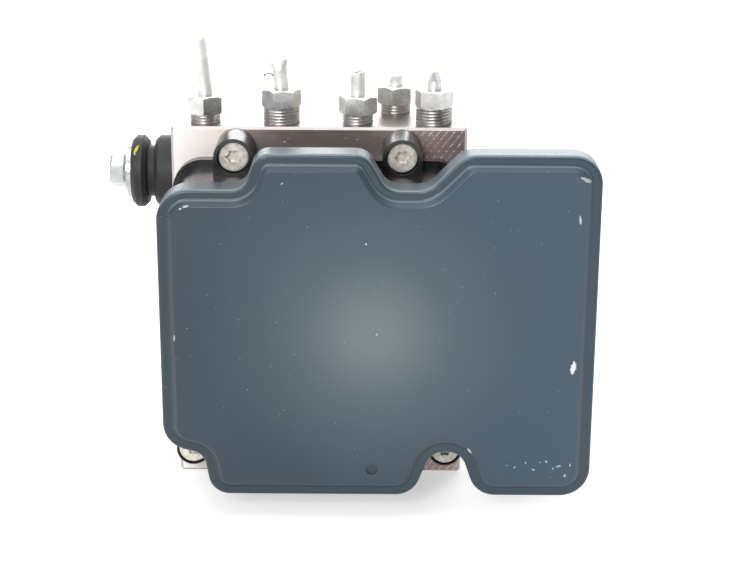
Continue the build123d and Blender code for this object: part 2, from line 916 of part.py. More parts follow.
for number, sign in enumerate((-1, 1), start=1):
    centre = (0, 0, motor_z)
    outward = (sign, 0, 0)
    piston = turned(
        centre,
        outward,
        [
            (piston_start, 0),
            (piston_start, pump_radius),
            (collar_start, pump_radius),
            (collar_start, piston_collar),
            (collar_start + piston_collar_thick, piston_collar),
            (collar_start + piston_collar_thick, spring_radius - spring_wire - free_gap),
            (collar_start + piston_collar_thick + piston_tail, spring_radius - spring_wire - free_gap),
            (collar_start + piston_collar_thick + piston_tail, 0),
        ],
    )
    keep(piston, f"pump_piston_{number}")
    seat = collar_start + piston_collar_thick
    spring = coil_spring(
        (sign * seat, 0, motor_z), outward, spring_seat - seat, spring_radius, spring_wire, spring_turns
    )
    keep(spring, f"pump_spring_{number}")


def pump_plug(sign):
    """A turned plug that closes a pump bore and holds the spring's outer end."""
    return turned(
        (0, 0, motor_z),
        (sign, 0, 0),
        [
            (collar_start + piston_collar_thick + collar_gap, plug_radius - seat_gap),
            (plug_start, plug_radius - seat_gap),
            (plug_start, 0),
            (spring_seat, 0),
            (spring_seat, spring_radius + spring_wire + free_gap),
            (collar_start + piston_collar_thick + collar_gap, spring_radius + spring_wire + free_gap),
        ],
    ).part


keep(group([pump_plug(-1), pump_plug(1)]), "pump_plugs")

# ---------------------------------------------------------------- accumulators
piston_top = store_depth - free_gap
piston_foot = piston_top - store_piston_height
crown = piston_top - store_piston_wall
skirt = store_radius - slide_gap
cap_top = store_recess + store_cap
for number, x in enumerate((-store_x, store_x), start=1):
    piston = turned(
        (x, 0, 0),
        (0, 0, 1),
        [
            (piston_foot, skirt - store_piston_wall),
            (piston_foot, skirt),
            (piston_top - 1, skirt),
            (piston_top, skirt - 1),
            (piston_top, 0),
            (crown, 0),
            (crown, skirt - store_piston_wall),
        ],
    )
    keep(piston, f"accumulator_piston_{number}")
    spring = coil_spring(
        (x, 0, cap_top), (0, 0, 1), crown - cap_top, store_spring_radius, store_spring_wire, spring_turns
    )
    keep(spring, f"accumulator_spring_{number}")


def store_lid(x):
    """A pressed cap that closes an accumulator bore."""
    return turned(
        (x, 0, 0),
        (0, 0, 1),
        [
            (store_recess, 0),
            (store_recess, store_radius - seat_gap - 0.8),
            (store_recess + 0.8, store_radius - seat_gap),
            (cap_top, store_radius - seat_gap),
            (cap_top, 0),
        ],
    ).part


keep(group([store_lid(-store_x), store_lid(store_x)]), "accumulator_caps")

# ---------------------------------------------------------------- motor
can_inside = can_radius - can_wall
boss_inside = can_length - can_wall
bearing_start = can_length - can_wall + 0.2
can_end = bearing_start + bearing_width + 0.4 + can_wall
can_body = turned(
    motor_axis,
    backwards,
    [
        (0, can_inside),
        (0, can_flange),
        (can_flange_thick, can_flange),
        (can_flange_thick, can_radius),
        (can_length - can_round, can_radius),
        (can_length, can_radius - can_round),
        (can_length, boss_radius),
        (can_end, boss_radius),
        (can_end, 0),
        (can_end - can_wall, 0),
        (can_end - can_wall, bearing_radius + seat_gap),
        (boss_inside, bearing_radius + seat_gap),
        (boss_inside, can_inside),
    ],
)
with BuildPart() as motor_can:
    add(can_body.part)
    with BuildSketch(behind(0)):
        for x, z in motor_ears:
            with Locations((x, z)):
                Circle(motor_ear)
            with Locations(Location((x / 2 + x / 2 * 0.78, z / 2 + z / 2 * 0.78), math.degrees(math.atan2(z, x)))):
                Rectangle(2 * motor_ear, 2 * motor_ear)
        Circle(can_inside + can_wall / 2, mode=Mode.SUBTRACT)
        with Locations(*motor_ears):
            Circle(motor_screw_radius + seat_gap, mode=Mode.SUBTRACT)
    extrude(amount=can_flange_thick)
keep(motor_can, "motor_can")


def motor_screw(x, z):
    """A flanged screw that holds the motor to the block."""
    place = (-x, back + can_flange_thick, motor_z + z)
    return turned(
        place,
        backwards,
        [
            (-can_flange_thick - motor_screw_depth, 0),
            (-can_flange_thick - motor_screw_depth, motor_screw_radius),
            (0, motor_screw_radius),
            (0, motor_head_radius),
            (motor_head_height * 0.6, motor_head_radius),
            (motor_head_height, motor_head_radius * 0.7),
            (motor_head_height, motor_head_radius * 0.4),
            (motor_head_height - 1.6, motor_head_radius * 0.4),
            (motor_head_height - 1.6, 0),
        ],
    ).part


keep(group([motor_screw(x, z) for x, z in motor_ears]), "motor_screws")


def bearing(start):
    """A sealed ball bearing as its outer form: rings with a recessed seal on both faces."""
    return turned(
        motor_axis,
        backwards,
        [
            (start, bearing_bore),
            (start, bearing_bore + 1.6),
            (start + 0.3, bearing_bore + 1.6),
            (start + 0.3, bearing_radius - 1.6),
            (start, bearing_radius - 1.6),
            (start, bearing_radius),
            (start + bearing_width, bearing_radius),
            (start + bearing_width, bearing_radius - 1.6),
            (start + bearing_width - 0.3, bearing_radius - 1.6),
            (start + bearing_width - 0.3, bearing_bore + 1.6),
            (start + bearing_width, bearing_bore + 1.6),
            (start + bearing_width, bearing_bore),
        ],
    ).part


keep(group([bearing(-bearing_width), bearing(bearing_start)]), "motor_bearings")

shaft_radius = bearing_bore - running_gap
ring_start = -block_depth / 2 - ring_width / 2
shaft_body = turned(
    motor_axis,
    backwards,
    [
        (ring_start + ring_width, 0),
        (ring_start + ring_width, shaft_radius),
        (bearing_start + bearing_width, shaft_radius),
        (bearing_start + bearing_width, 0),
    ],
)
with BuildPart() as motor_shaft:
    add(shaft_body.part)
    with BuildSketch(behind(ring_start)):
        with Locations((0, eccentricity)):
            Circle(ring_bore)
    extrude(amount=ring_width)
keep(motor_shaft, "motor_shaft")

with BuildPart() as eccentric_ring:
    with BuildSketch(behind(ring_start)):
        with Locations((0, eccentricity)):
            Circle(ring_radius)
            Circle(ring_bore + slide_gap, mode=Mode.SUBTRACT)
    extrude(amount=ring_width)
keep(eccentric_ring, "eccentric_ring")

commutator = turned(
    motor_axis,
    backwards,
    [
        (commutator_start, bearing_bore),
        (commutator_start, commutator_radius),
        (commutator_start + commutator_length, commutator_radius),
        (commutator_start + commutator_length, bearing_bore),
    ],
)
keep(commutator, "commutator")

core_end = core_start + core_length
with BuildPart() as rotor_core:
    with BuildSketch(behind(core_start)):
        Circle(core_radius)
        Circle(bearing_bore, mode=Mode.SUBTRACT)
        with PolarLocations((slot_root + slot_mouth) / 2, core_slots):
            Rectangle(slot_mouth - slot_root, slot_width, mode=Mode.SUBTRACT)
        with PolarLocations((slot_mouth + core_radius) / 2, core_slots):
            Rectangle(core_radius - slot_mouth + 1, slot_width / 3, mode=Mode.SUBTRACT)
    extrude(amount=core_length)
keep(rotor_core, "rotor_core")

with BuildPart() as rotor_windings:
    with BuildSketch(behind(core_start)):
        with PolarLocations((slot_root + slot_mouth) / 2, core_slots):
            Rectangle(slot_mouth - slot_root - 2 * slot_fill, slot_width - 2 * slot_fill)
    extrude(amount=core_length)
    with BuildSketch(behind(core_start - end_turn_length), behind(core_end)):
        Circle(slot_mouth - slot_fill)
        Circle(slot_root + slot_fill, mode=Mode.SUBTRACT)
    extrude(amount=end_turn_length)
keep(rotor_windings, "rotor_windings")

with BuildPart() as motor_magnets:
    with BuildSketch(behind(core_start - (magnet_length - core_length) / 2)):
        for middle in (90.0, 270.0):
            with BuildLine():
                inner = CenterArc((0, 0), core_radius + magnet_gap, middle - magnet_angle / 2, magnet_angle)
                outer = CenterArc((0, 0), can_inside - seat_gap, middle - magnet_angle / 2, magnet_angle)
                Line(inner @ 0, outer @ 0)
                Line(inner @ 1, outer @ 1)
            make_face()
    extrude(amount=magnet_length)
keep(motor_magnets, "motor_magnets")

brush_start = commutator_start + (commutator_length - brush_height) / 2
brush_inner = commutator_radius + free_gap
brush_box = brush_width / 2 + brush_box_wall + seat_gap
with BuildPart() as brush_plate:
    with BuildSketch(behind(plate_start)):
        Circle(can_inside - seat_gap)
        Circle(shaft_hole, mode=Mode.SUBTRACT)
    extrude(amount=plate_thick)
    # boxes that guide the brushes
    with BuildSketch(behind(plate_start)):
        for sign in (-1, 1):
            with Locations((sign * (brush_inner + 1 + brush_length / 2), 0)):
                Rectangle(brush_length, 2 * brush_box)
    extrude(amount=brush_start + brush_height + brush_box_wall - plate_start)
    with BuildSketch(behind(brush_start - seat_gap)):
        for sign in (-1, 1):
            with Locations((sign * (brush_inner + brush_length / 2), 0)):
                Rectangle(brush_length, brush_width + 2 * seat_gap)
    extrude(amount=brush_height + 2 * seat_gap, mode=Mode.SUBTRACT)
    # stem that carries the two contacts through the block to the controller
    with BuildSketch(behind(plate_start)):
        with Locations((0, stem_z - motor_z)):
            Circle(stem_radius)
    extrude(amount=-plate_start - block_depth - stem_reach)
    with BuildSketch(behind(plate_start + plate_thick)):
        with Locations((-contact_x, stem_z - motor_z), (contact_x, stem_z - motor_z)):
            Circle(contact_radius + slide_gap)
    extrude(amount=-plate_start - plate_thick - block_depth - stem_reach, mode=Mode.SUBTRACT)
keep(brush_plate, "brush_plate")

with BuildPart() as motor_contacts:
    with BuildSketch(behind(plate_start + plate_thick)):
        with Locations((-contact_x, stem_z - motor_z), (contact_x, stem_z - motor_z)):
            Circle(contact_radius)
    extrude(amount=-plate_start - plate_thick - block_depth - board_back)
keep(motor_contacts, "motor_contacts")

with BuildPart() as motor_brushes:
    with BuildSketch(behind(brush_start)):
        for sign in (-1, 1):
            with Locations((sign * (brush_inner + brush_length / 2), 0)):
                Rectangle(brush_length, brush_width)
    extrude(amount=brush_height)
keep(motor_brushes, "motor_brushes")
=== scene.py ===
# %% [markdown]
# # An anti-lock brake unit, dressed around its CAD frame
# The unit is an aluminium valve block with a controller on its front, a pump motor on its back,
# tube nuts with cut-off brake pipes on top and a rubber mount on its left. The CAD model already
# has every piece in its real place, so this lesson loads it as a fixed frame, gives each piece a
# surface, adds what a rigid CAD model leaves out, threads and a burr, and winds the springs again.

# %% Load the frame
import math

import bpy
from mathutils import Matrix, Vector


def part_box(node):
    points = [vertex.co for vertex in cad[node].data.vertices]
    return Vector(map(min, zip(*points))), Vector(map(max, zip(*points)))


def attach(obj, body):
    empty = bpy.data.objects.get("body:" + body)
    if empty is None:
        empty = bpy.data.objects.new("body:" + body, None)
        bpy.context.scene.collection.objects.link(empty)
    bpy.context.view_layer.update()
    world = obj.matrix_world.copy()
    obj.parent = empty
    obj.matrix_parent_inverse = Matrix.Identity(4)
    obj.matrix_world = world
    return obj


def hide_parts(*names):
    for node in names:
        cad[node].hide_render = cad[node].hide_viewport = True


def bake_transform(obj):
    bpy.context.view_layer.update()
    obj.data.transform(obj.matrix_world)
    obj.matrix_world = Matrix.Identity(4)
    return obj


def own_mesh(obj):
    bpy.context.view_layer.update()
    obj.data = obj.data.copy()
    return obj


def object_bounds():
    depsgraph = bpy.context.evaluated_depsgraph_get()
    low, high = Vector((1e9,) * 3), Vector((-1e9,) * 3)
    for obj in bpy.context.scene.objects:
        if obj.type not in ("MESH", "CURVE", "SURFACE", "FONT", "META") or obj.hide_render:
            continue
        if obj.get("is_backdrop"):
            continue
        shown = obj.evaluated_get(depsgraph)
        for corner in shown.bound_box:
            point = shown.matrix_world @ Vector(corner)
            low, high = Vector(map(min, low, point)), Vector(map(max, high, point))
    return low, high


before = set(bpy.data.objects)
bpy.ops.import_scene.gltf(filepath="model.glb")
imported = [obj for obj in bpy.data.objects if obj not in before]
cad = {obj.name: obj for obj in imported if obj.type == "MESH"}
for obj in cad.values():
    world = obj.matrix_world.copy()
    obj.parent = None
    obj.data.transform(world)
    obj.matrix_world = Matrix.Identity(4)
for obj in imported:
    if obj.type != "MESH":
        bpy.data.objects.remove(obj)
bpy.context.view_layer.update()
MM = 0.001

# %% [markdown]
# ## Camera
# The unit is looked at from a little above, through a long lens, so its front stays almost
# square. A camera in Blender looks along its own -Z, so it is first tipped up from straight down,
# and then rolled a third of a degree, as a hand-set tripod is.

# %% Camera
CAMERA_PLACE = Vector((18.25, -579.9, 255.0)) * MM
CAMERA_DOWN = math.radians(18.5)
CAMERA_ROLL = math.radians(0.36)
LENS_MM = 85.63
SENSOR_MM = 36.0
camera_data = bpy.data.cameras.new("camera")
camera_data.lens = LENS_MM
camera_data.sensor_width = SENSOR_MM
camera = bpy.data.objects.new("camera", camera_data)
camera.matrix_world = (
    Matrix.Translation(CAMERA_PLACE)
    @ Matrix.Rotation(math.pi / 2 - CAMERA_DOWN, 4, "X")
    @ Matrix.Rotation(CAMERA_ROLL, 4, "Z")
)
bpy.context.scene.collection.objects.link(camera)
bpy.context.scene.camera = camera
print("camera at", [round(v, 3) for v in CAMERA_PLACE])

# %% [markdown]
# ## Nodes and colours
# Colours are picked as sRGB hex values, but shaders add light in linear values, so one function
# turns one into the other. A second small function adds any node with its settings and links,
# which keeps each material to a few readable lines.


# %% Helpers for materials
def linear(code):
    """A hex colour as linear red, green, blue and alpha."""
    parts = [int(code[i : i + 2], 16) / 255 for i in (0, 2, 4)]
    return (*[c / 12.92 if c <= 0.04045 else ((c + 0.055) / 1.055) ** 2.4 for c in parts], 1.0)


def put(tree, kind, sockets=None, **settings):
    """Adds a node: settings are its properties, sockets its inputs, each a value or a link."""
    made = tree.nodes.new(kind)
    for name, value in settings.items():
        setattr(made, name, value)
    for name, value in (sockets or {}).items():
        if isinstance(value, bpy.types.NodeSocket):
            tree.links.new(value, made.inputs[name])
        else:
            made.inputs[name].default_value = value
    return made


# %% [markdown]
# ## Floor and light
# Parts like this are shown on a white sweep under a big soft lamp. The floor is plain and pale. To
# a camera or a reflection it also glows a little, and more so far away, so that it reads as white
# paper and still keeps the shadow that seats the unit.

# %% Floor
FLOOR_WIDTH = 6.0
FLOOR_FRONT = -1.6
FLOOR_BACK = 4.0
GLOW_GROWS = (0.5, 1.8)  # metres from the middle between which the glow grows
GLOW_RANGE = (0.52, 1.0)
bpy.ops.object.select_all(action="DESELECT")
bpy.ops.mesh.primitive_plane_add(size=1.0, location=(0, (FLOOR_FRONT + FLOOR_BACK) / 2, 0))
floor = bpy.context.object
floor.scale = (FLOOR_WIDTH, FLOOR_BACK - FLOOR_FRONT, 1.0)
bpy.ops.object.transform_apply(location=True, rotation=True, scale=True)
floor.name = "floor"
floor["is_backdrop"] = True
# matt white paper: no shine at all, so it takes only the unit's soft shadow
paper = bpy.data.materials.new("paper_sweep")
paper.use_nodes = True
tree = paper.node_tree
tree.nodes.clear()
ray = put(tree, "ShaderNodeLightPath")
seen = put(
    tree,
    "ShaderNodeMath",
    {0: ray.outputs["Is Camera Ray"], 1: ray.outputs["Is Glossy Ray"]},
    operation="MAXIMUM",
)
place = put(tree, "ShaderNodeTexCoord").outputs["Object"]
away = put(tree, "ShaderNodeVectorMath", {0: place}, operation="LENGTH").outputs["Value"]
share = put(
    tree,
    "ShaderNodeMapRange",
    {
        "Value": away,
        "From Min": GLOW_GROWS[0],
        "From Max": GLOW_GROWS[1],
        "To Min": GLOW_RANGE[0],
        "To Max": GLOW_RANGE[1],
    },
).outputs[0]
level = put(tree, "ShaderNodeMath", {0: seen.outputs[0], 1: share}, operation="MULTIPLY")
matt = put(tree, "ShaderNodeBsdfDiffuse", {"Color": linear("e6e6e6")})
glow = put(
    tree, "ShaderNodeEmission", {"Color": linear("ffffff"), "Strength": level.outputs[0]}
)
lit = put(tree, "ShaderNodeAddShader", {0: matt.outputs[0], 1: glow.outputs[0]})
put(tree, "ShaderNodeOutputMaterial", {"Surface": lit.outputs[0]})
floor.data.materials.append(paper)
print("floor", floor.name)

# %% [markdown]
# Three soft lamps light the unit: one above for the tops, one behind for the bright top edges,
# and a smaller one at the front left for the heads of the screws. They stay at a level where a
# colour looks as it is written.


# %% Lamps
def lamp(name, place, target, width, height, watts):
    """A soft rectangular lamp that points at a target."""
    data = bpy.data.lights.new(name, "AREA")
    data.shape = "RECTANGLE"
    data.size, data.size_y, data.energy = width, height, watts
    made = bpy.data.objects.new(name, data)
    made.location = place
    made.rotation_mode = "QUATERNION"
    made.rotation_quaternion = (Vector(target) - Vector(place)).to_track_quat("-Z", "Y")
    bpy.context.scene.collection.objects.link(made)
    return made


middle = (0.02, 0.0, 0.07)
lamp("lamp_above", (0.0, 0.05, 1.2), middle, 1.4, 1.2, 10.5)
lamp("lamp_behind", (0.0, 1.3, 0.62), middle, 1.8, 0.7, 13.5)
lamp("lamp_front", (-0.4, -1.3, 0.78), middle, 0.6, 0.6, 14.0)

# %% [markdown]
# The room is white to the camera. Shiny metal also mirrors it, so for reflections it is white
# behind, and in front it falls from bright at the left to dim at the right. That gives the nuts
# and the block a light side and a dark one.

# %% Room
LEFT_GROWS, LEFT_RANGE = (-0.6, 0.05), (1.1, 0.36)  # along X of the direction, then strengths
BACK_GROWS, BACK_LEVEL = (-0.6, 0.4), 1.0  # along Y of the direction, then the strength behind
SOFT_SHARE = 0.45  # of the room's light that reaches surfaces other than by a reflection
world = bpy.data.worlds.new("studio")
bpy.context.scene.world = world
world.use_nodes = True
tree = world.node_tree
tree.nodes.clear()
ray = put(tree, "ShaderNodeLightPath")
way = put(tree, "ShaderNodeTexCoord").outputs["Generated"]
split = put(tree, "ShaderNodeSeparateXYZ", {"Vector": way})
left = put(
    tree,
    "ShaderNodeMapRange",
    {
        "Value": split.outputs["X"],
        "From Min": LEFT_GROWS[0],
        "From Max": LEFT_GROWS[1],
        "To Min": LEFT_RANGE[0],
        "To Max": LEFT_RANGE[1],
    },
)
room = put(
    tree,
    "ShaderNodeMapRange",
    {
        "Value": split.outputs["Y"],
        "From Min": BACK_GROWS[0],
        "From Max": BACK_GROWS[1],
        "To Min": left.outputs[0],
        "To Max": BACK_LEVEL,
    },
)
shown = put(
    tree,
    "ShaderNodeMapRange",
    {"Value": ray.outputs["Is Glossy Ray"], "To Min": SOFT_SHARE, "To Max": 1.0},
)
dim = put(tree, "ShaderNodeMath", {0: room.outputs[0], 1: shown.outputs[0]}, operation="MULTIPLY")
level = put(
    tree,
    "ShaderNodeMath",
    {0: dim.outputs[0], 1: ray.outputs["Is Camera Ray"]},
    operation="MAXIMUM",
)
sky = put(
    tree, "ShaderNodeBackground", {"Color": linear("ffffff"), "Strength": level.outputs[0]}
)
put(tree, "ShaderNodeOutputWorld", {"Surface": sky.outputs[0]})
bpy.context.scene.view_settings.view_transform = "Standard"
print("room nodes:", len(tree.nodes))

# %% [markdown]
# ## The base of every surface
# No made surface is one flat colour. It has patches a few millimetres to centimetres wide, where
# oxide, handling or moulding changed the tint, and a grain far finer than that, which breaks up
# its shine. One function lays down both from two noise textures. It hands back its nodes so that
# a special surface, such as the lid's, can add its own marks.


# %% A surface with patches and grain
def surface(
    name,
    dark,
    light,
    patch_mm,
    grain_mm,
    height_mm,
    smooth,
    rough,
    metallic=0.0,
    ior=1.5,
    stretch=(1, 1, 1),
):
    """A material whose tint wanders over patch_mm and whose grain is grain_mm wide.

    The grain is height_mm deep and swings the roughness between smooth and rough. The real grain
    of plating, moulding or grinding is mostly under 0.1 mm, too fine to show from here, so it is
    drawn at 0.15 to 0.8 mm.
    """
    made = bpy.data.materials.new(name)
    made.use_nodes = True
    tree = made.node_tree
    shader = tree.nodes["Principled BSDF"]
    place = put(tree, "ShaderNodeTexCoord").outputs["Object"]
    run = put(tree, "ShaderNodeMapping", {"Vector": place, "Scale": stretch}).outputs[0]
    patches = put(
        tree, "ShaderNodeTexNoise", {"Vector": place, "Scale": 1000 / patch_mm, "Detail": 4.0}
    )
    spread = put(
        tree,
        "ShaderNodeMapRange",
        {"Value": patches.outputs["Fac"], "From Min": 0.35, "From Max": 0.65},
    )
    tint = put(
        tree,
        "ShaderNodeMix",
        {0: spread.outputs[0], 6: linear(dark), 7: linear(light)},
        data_type="RGBA",
    )
    grain = put(
        tree, "ShaderNodeTexNoise", {"Vector": run, "Scale": 1000 / grain_mm, "Detail": 3.0}
    )
    shine = put(
        tree,
        "ShaderNodeMapRange",
        {
            "Value": grain.outputs["Fac"],
            "From Min": 0.3,
            "From Max": 0.7,
            "To Min": smooth,
            "To Max": rough,
        },
    )
    relief = put(
        tree, "ShaderNodeBump", {"Height": grain.outputs["Fac"], "Distance": height_mm * MM}
    )
    tree.links.new(tint.outputs[2], shader.inputs["Base Color"])
    tree.links.new(shine.outputs[0], shader.inputs["Roughness"])
    tree.links.new(relief.outputs[0], shader.inputs["Normal"])
    shader.inputs["Metallic"].default_value = metallic
    shader.inputs["IOR"].default_value = ior
    return {
        "material": made,
        "tree": tree,
        "shader": shader,
        "place": place,
        "tint": tint,
        "relief": relief,
    }


def dress(nodes, made):
    """Gives the CAD nodes this material."""
    for name in nodes:
        cad[name].data.materials.clear()
        cad[name].data.materials.append(made["material"])


# %% [markdown]
# ## Plain surfaces
# Each one is a real metal, plastic or rubber with its usual finish. The numbers after the two
# colours are the width of a patch, the width and the depth of the grain, all in millimetres, and
# the lowest and highest roughness.

# %% Plain surfaces outside
# bright zinc: pale and nearly a mirror, so each hexagon's flat takes one tone of the room
zinc = surface(
    "bright_zinc_plated_steel", "c2c2c0", "dededc", 5.0, 0.3, 0.01, 0.22, 0.4, metallic=0.9
)
dress(["small_tube_nuts", "large_tube_nuts"], zinc)
# zinc on cold-headed bolts: a darker, bluer grey than the nuts
bolt_zinc = surface(
    "bright_zinc_bolt_steel", "9da1a0", "bfc3c2", 6.0, 0.4, 0.02, 0.2, 0.38, metallic=1.0
)
dress(["mounting_bolt", "washer", "spacer_sleeve", "motor_screws"], bolt_zinc)
# zinc flake paint: a warm, pale and half-matt coat with a mottled look
flake = surface(
    "zinc_flake_coated_screw_steel",
    "cdc7bd",
    "f6f0e7",
    1.6,
    0.25,
    0.05,
    0.36,
    0.58,
    metallic=0.42,
)
dress(["ecu_screws"], flake)
# coated tube: almost white, with a soft streak of light along it
tube = surface(
    "zinc_coated_brake_tube", "d6d6d3", "f0f0ed", 4.0, 0.3, 0.015, 0.3, 0.5, metallic=0.6
)
dress([f"brake_pipe_{i}" for i in range(1, 6)], tube)
# glass-filled nylon: near black, with a sharp highlight where the mould was polished
black = surface(
    "black_glass_filled_nylon", "08090a", "111214", 12.0, 0.3, 0.02, 0.2, 0.36, ior=1.6
)
dress(["ecu_housing"], black)
# moulded rubber: a soft, warm black that hardly shines
rubber = surface(
    "moulded_black_rubber", "191717", "2b2828", 6.0, 0.25, 0.04, 0.45, 0.7, ior=1.52
)
dress(["ecu_gasket"], rubber)
# deep-drawn can: fine lines along the pull of the press, and a dull shine across them
can = surface(
    "drawn_zinc_plated_motor_can",
    "8b8d8e",
    "999b9c",
    25.0,
    0.5,
    0.03,
    0.26,
    0.45,
    metallic=1.0,
    stretch=(1, 0.12, 1),
)
dress(["motor_can"], can)
print("materials:", len(bpy.data.materials))

# %% Plain surfaces inside
# turned steel: a clean, even grey
turned_steel = surface(
    "turned_valve_steel", "a4a5a5", "b6b7b6", 8.0, 0.3, 0.02, 0.2, 0.4, metallic=1.0
)
dress(
    [n for n in cad if n.startswith(("valve_cartridge", "valve_armature", "pump_plug"))],
    turned_steel,
)
# ground steel: the brightest and smoothest metal in the unit
ground = surface(
    "ground_bearing_steel", "a9a9a9", "c9c9c9", 7.0, 0.2, 0.01, 0.12, 0.28, metallic=1.0
)
dress(["motor_bearings", "motor_shaft", "eccentric_ring", "pump_piston_1", "pump_piston_2"], ground)
# drawn spring wire: dark grey, with a narrow highlight along each turn
wire = surface("drawn_spring_wire", "6f6e6c", "8f8e8b", 3.0, 0.2, 0.02, 0.3, 0.5, metallic=1.0)
# pressed aluminium: pale and silky
pressed = surface("pressed_aluminium", "b9babb", "d3d4d5", 8.0, 0.3, 0.02, 0.3, 0.5, metallic=1.0)
dress(["accumulator_caps", "accumulator_piston_1", "accumulator_piston_2"], pressed)
# stacked sheet: dull grey, with the edges of the sheets as lines round the core
core = surface(
    "stacked_core_sheet",
    "55565a",
    "7d7e80",
    6.0,
    0.5,
    0.06,
    0.35,
    0.6,
    metallic=1.0,
    stretch=(0.1, 1, 0.1),
)
dress(["rotor_core"], core)
# enamelled wire: a red-brown copper under clear varnish, in strands
copper = surface(
    "varnished_copper_wire",
    "7c3a1c",
    "b4623a",
    4.0,
    0.8,
    0.2,
    0.2,
    0.4,
    metallic=0.9,
    stretch=(0.15, 1, 0.15),
)
dress(["rotor_windings"], copper)
# plain brass: yellow, a little tarnished in patches
brass = surface("plain_brass", "a4813f", "cda960", 5.0, 0.3, 0.02, 0.25, 0.45, metallic=1.0)
dress(["commutator", "motor_contacts"], brass)
# sintered carbon: sooty black with no clear highlight
carbon = surface("sintered_brush_carbon", "151414", "2b2928", 2.0, 0.2, 0.06, 0.5, 0.8)
dress(["motor_brushes"], carbon)
# ground ferrite: a charcoal ceramic
ferrite = surface("ground_ferrite_magnet", "232327", "3a3a3e", 5.0, 0.4, 0.03, 0.35, 0.6)
dress(["motor_magnets"], ferrite)
# moulded polyester: a plain satin black
moulded = surface("moulded_black_polyester", "17171a", "26262a", 8.0, 0.3, 0.03, 0.35, 0.55)
dress(["brush_plate", "solenoid_coils"], moulded)
# solder resist: glossy dark green lacquer
laminate = surface("green_solder_resist", "0d3a20", "17552f", 3.0, 0.6, 0.04, 0.25, 0.45)
dress(["circuit_board"], laminate)
# tin plate: a warm, pale metal
tin = surface("tin_plated_pin_brass", "b9b6ac", "dcd9cf", 2.0, 0.2, 0.01, 0.2, 0.4, metallic=1.0)
dress(["connector_pins"], tin)
print("materials:", len(bpy.data.materials))

# %% [markdown]
# ## Milled aluminium block
# The block is sawn from a drawn bar and face milled, so each face shows arcs from the cutter and
# some crossing scratches. A wave texture in wide rings, centred far outside the block, gives the
# arcs. Stretched noise gives the scratches. A wave texture of scale 1 repeats every 2 pi / 20
# metres, which turns a spacing in millimetres into a scale.

# %% Cutter marks
WAVE_REPEAT = 2 * math.pi / 20
# the arcs are 5.7 mm apart, which is several times coarser than a real cutter's feed marks
ARC_MM = 1.8 * math.pi
CUTTER_OFFSET = (0.12, 0.02, 0.05)
SCRATCH_MM = 0.7
SCRATCH_TURN = math.radians(38)
# milled aluminium: a bright, faintly warm metal
milled = surface(
    "milled_aluminium", "a39c99", "b4adaa", 30.0, 0.3, 0.02, 0.26, 0.44, metallic=1.0
)
tree = milled["tree"]
cutter = put(
    tree, "ShaderNodeMapping", {"Vector": milled["place"], "Location": CUTTER_OFFSET}
).outputs[0]
arcs = put(
    tree,
    "ShaderNodeTexWave",
    {"Vector": cutter, "Scale": WAVE_REPEAT * 1000 / ARC_MM, "Distortion": 0.6, "Detail": 2.0},
    wave_type="RINGS",
    rings_direction="SPHERICAL",
)
slanted = put(
    tree,
    "ShaderNodeMapping",
    {"Vector": milled["place"], "Rotation": (0, SCRATCH_TURN, 0), "Scale": (0.04, 1, 1)},
).outputs[0]
scratch = put(
    tree, "ShaderNodeTexNoise", {"Vector": slanted, "Scale": 1000 / SCRATCH_MM, "Detail": 2.0}
)
both = put(
    tree, "ShaderNodeMath", {0: arcs.outputs["Fac"], 1: scratch.outputs["Fac"]}, operation="ADD"
)
cut = put(
    tree,
    "ShaderNodeBump",
    {"Height": both.outputs[0], "Distance": 0.03 * MM, "Normal": milled["relief"].outputs[0]},
)
tree.links.new(cut.outputs[0], milled["shader"].inputs["Normal"])
print("cutter marks:", len(tree.nodes), "nodes")

# %% [markdown]
# The right end of the front face has slanted bright scratches. A mask keeps them to that face,
# because the object normal's Y is close to -1 only there.

# %% Hatch on the front face
HATCH_MM = 1.9  # from one line to the next
HATCH_TURN = math.radians(-38)
HATCH_STARTS = (18 * MM, 30 * MM)  # along X, between which the lines fade in
FACES_FRONT = -0.9
lines = put(
    tree, "ShaderNodeMapping", {"Vector": milled["place"], "Rotation": (0, HATCH_TURN, 0)}
).outputs[0]
hatch = put(
    tree,
    "ShaderNodeTexWave",
    {"Vector": lines, "Scale": WAVE_REPEAT * 1000 / HATCH_MM, "Distortion": 0.4, "Detail": 1.0},
    bands_direction="X",
)
thin = put(
    tree,
    "ShaderNodeMapRange",
    {"Value": hatch.outputs["Fac"], "From Min": 0.82, "From Max": 1.0, "To Max": 0.75},
).outputs[0]
where = put(tree, "ShaderNodeSeparateXYZ", {"Vector": milled["place"]})
right = put(
    tree,
    "ShaderNodeMapRange",
    {"Value": where.outputs["X"], "From Min": HATCH_STARTS[0], "From Max": HATCH_STARTS[1]},
).outputs[0]
broken = put(
    tree,
    "ShaderNodeMapRange",
    {"Value": scratch.outputs["Fac"], "From Min": 0.4, "From Max": 0.6},
).outputs[0]
hatched = put(tree, "ShaderNodeMath", {0: thin, 1: right}, operation="MULTIPLY").outputs[0]
facing = put(tree, "ShaderNodeTexCoord").outputs["Normal"]
toward = put(tree, "ShaderNodeSeparateXYZ", {"Vector": facing}).outputs["Y"]
front = put(tree, "ShaderNodeMath", {0: toward, 1: FACES_FRONT}, operation="LESS_THAN").outputs[0]
print("hatch:", len(tree.nodes), "nodes")
